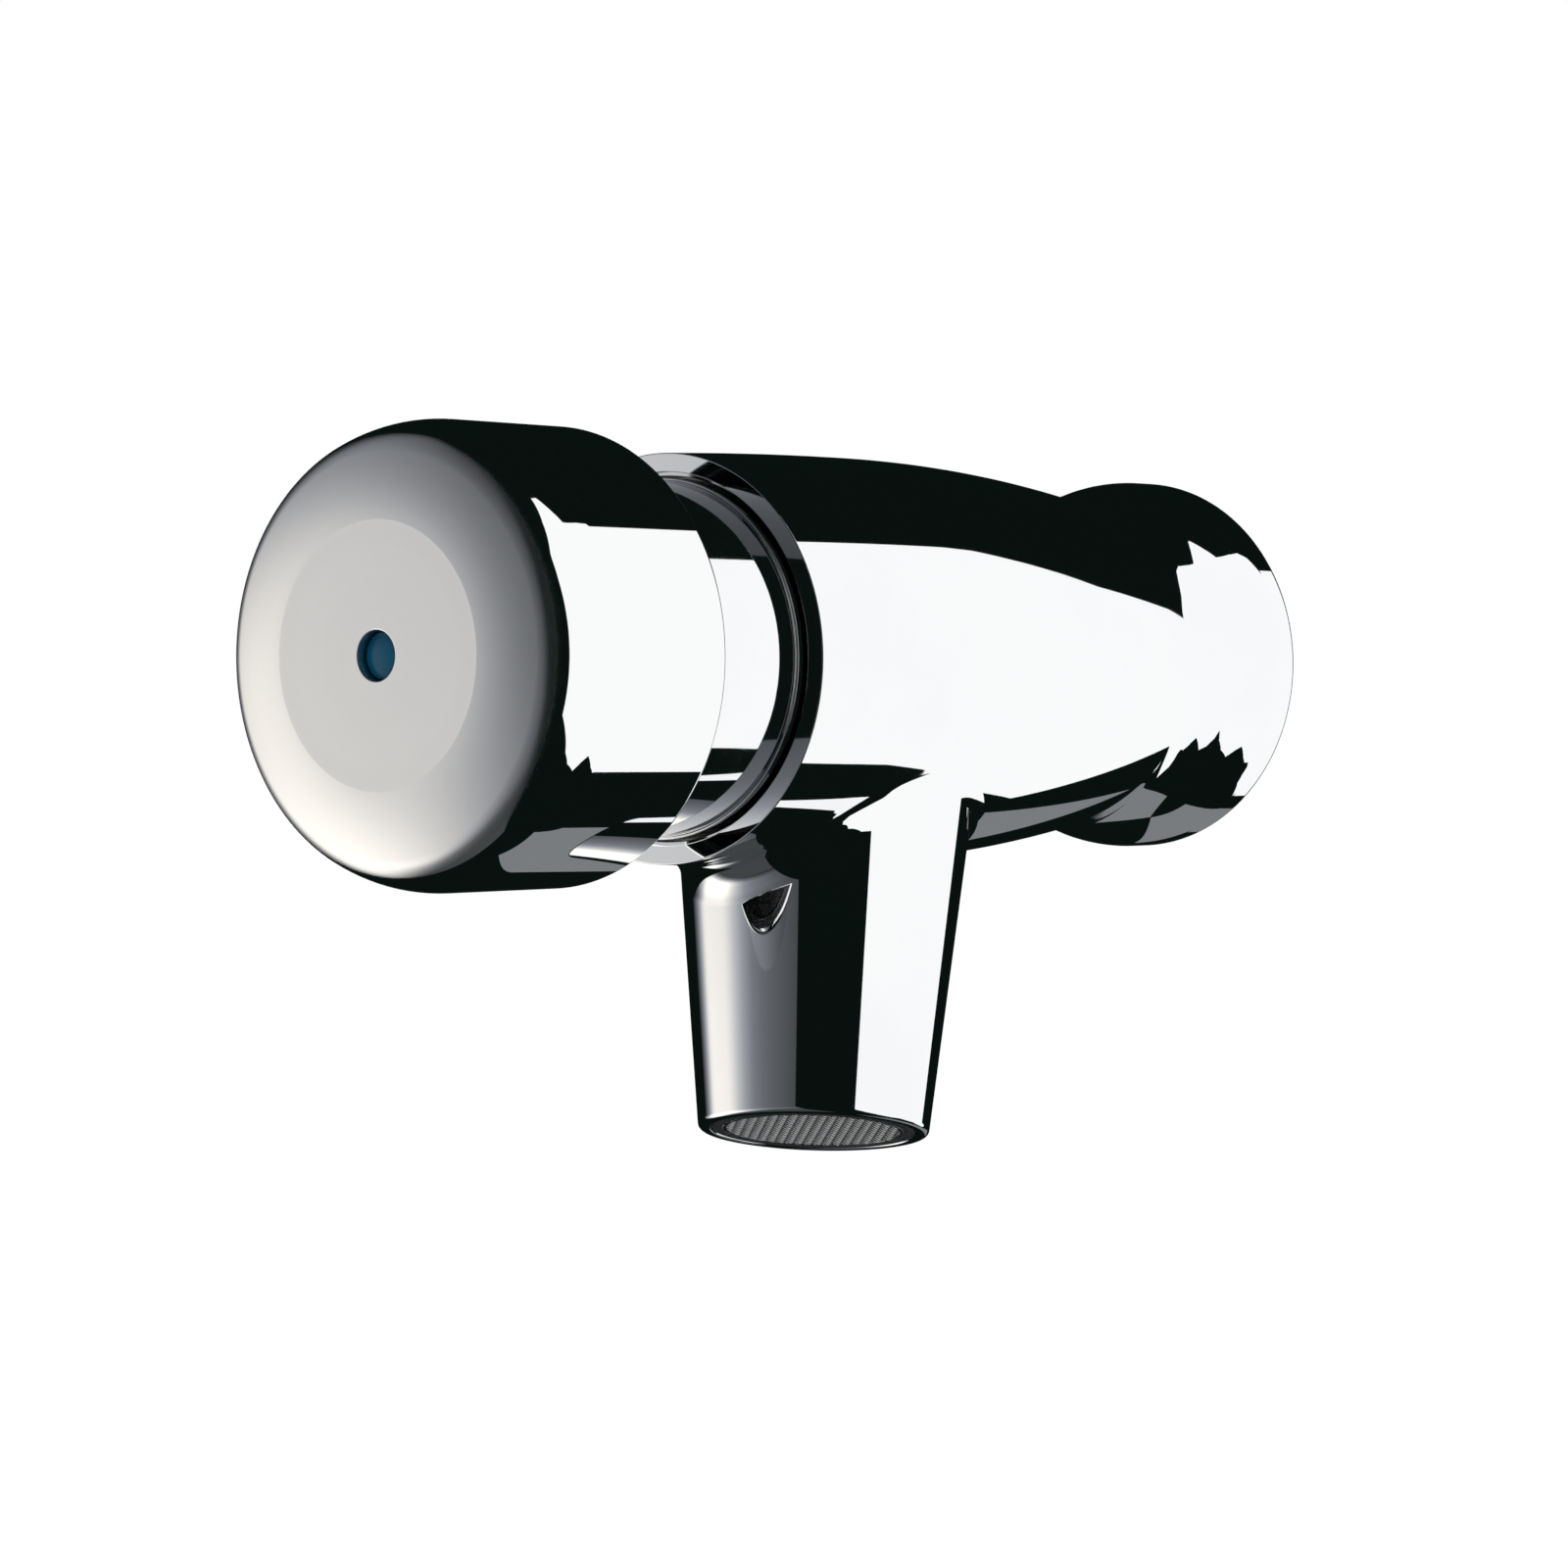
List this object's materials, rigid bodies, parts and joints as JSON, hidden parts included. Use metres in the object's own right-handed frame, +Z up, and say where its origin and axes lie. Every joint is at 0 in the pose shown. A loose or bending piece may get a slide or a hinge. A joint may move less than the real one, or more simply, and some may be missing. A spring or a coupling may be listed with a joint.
{
  "type": "push timed tap",
  "caption": "Wall-mounted self-closing tap: tapered barrel on a flared rosette, inclined conical spout, large domed push button and a threaded rear inlet.",
  "frame": {"origin": "where the tap's level axis meets the finished wall, at the root of the inlet tail", "axes": "+Y along the tap's axis into the wall, +Z up, +X to the right of someone who faces the wall; the button faces -Y"},
  "size_m": [0.046, 0.1435, 0.0753],
  "materials": {
    "chrome_cast": "polished chrome plate on cast brass",
    "chrome_turned": "polished chrome plate on turned brass",
    "chrome_button": "chrome plate, satin on the face disc",
    "blue_plug": "moulded",
    "acetal": "moulded",
    "grey_acetal": "moulded",
    "black_rubber": "moulded",
    "plain_brass": "machined",
    "stainless": "machined"
  },
  "bodies": {
    "body": {"tap_body": "chrome_cast", "cartridge_head": "chrome_turned", "straightener_housing": "chrome_turned", "cartridge_sleeve": "acetal", "skirt_guide_ring": "acetal", "guide_bush": "acetal", "flow_limiter": "acetal", "straightener_core": "grey_acetal", "head_gasket": "black_rubber", "rod_seal": "black_rubber", "sleeve_o_ring": "black_rubber", "straightener_seal": "black_rubber", "seat_ring": "plain_brass", "main_spring": "stainless", "inlet_filter": "stainless"},
    "plunger": {"pusher_rod": "stainless", "piston": "acetal", "piston_lip_seal": "black_rubber", "timing_pin": "stainless", "valve_spindle": "stainless", "valve_washer": "black_rubber", "washer_cup": "acetal", "washer_nut": "plain_brass", "button_screw": "stainless"},
    "button": {"push_button": "chrome_button", "indicator_plug": "blue_plug"}
  },
  "joints": [
    {"name": "button_push", "type": "slide", "parent": "body", "child": "plunger", "axis": [0, 1, 0], "range_m": [0, 0.006], "stiffness_N_per_m": 1200, "springref_m": -0.008, "deforming": ["main_spring"]},
    {"name": "button_turn", "type": "hinge", "parent": "plunger", "child": "button", "pos_m": [0, -0.1235, 0], "axis": [0, 1, 0], "continuous": true}
  ]
}
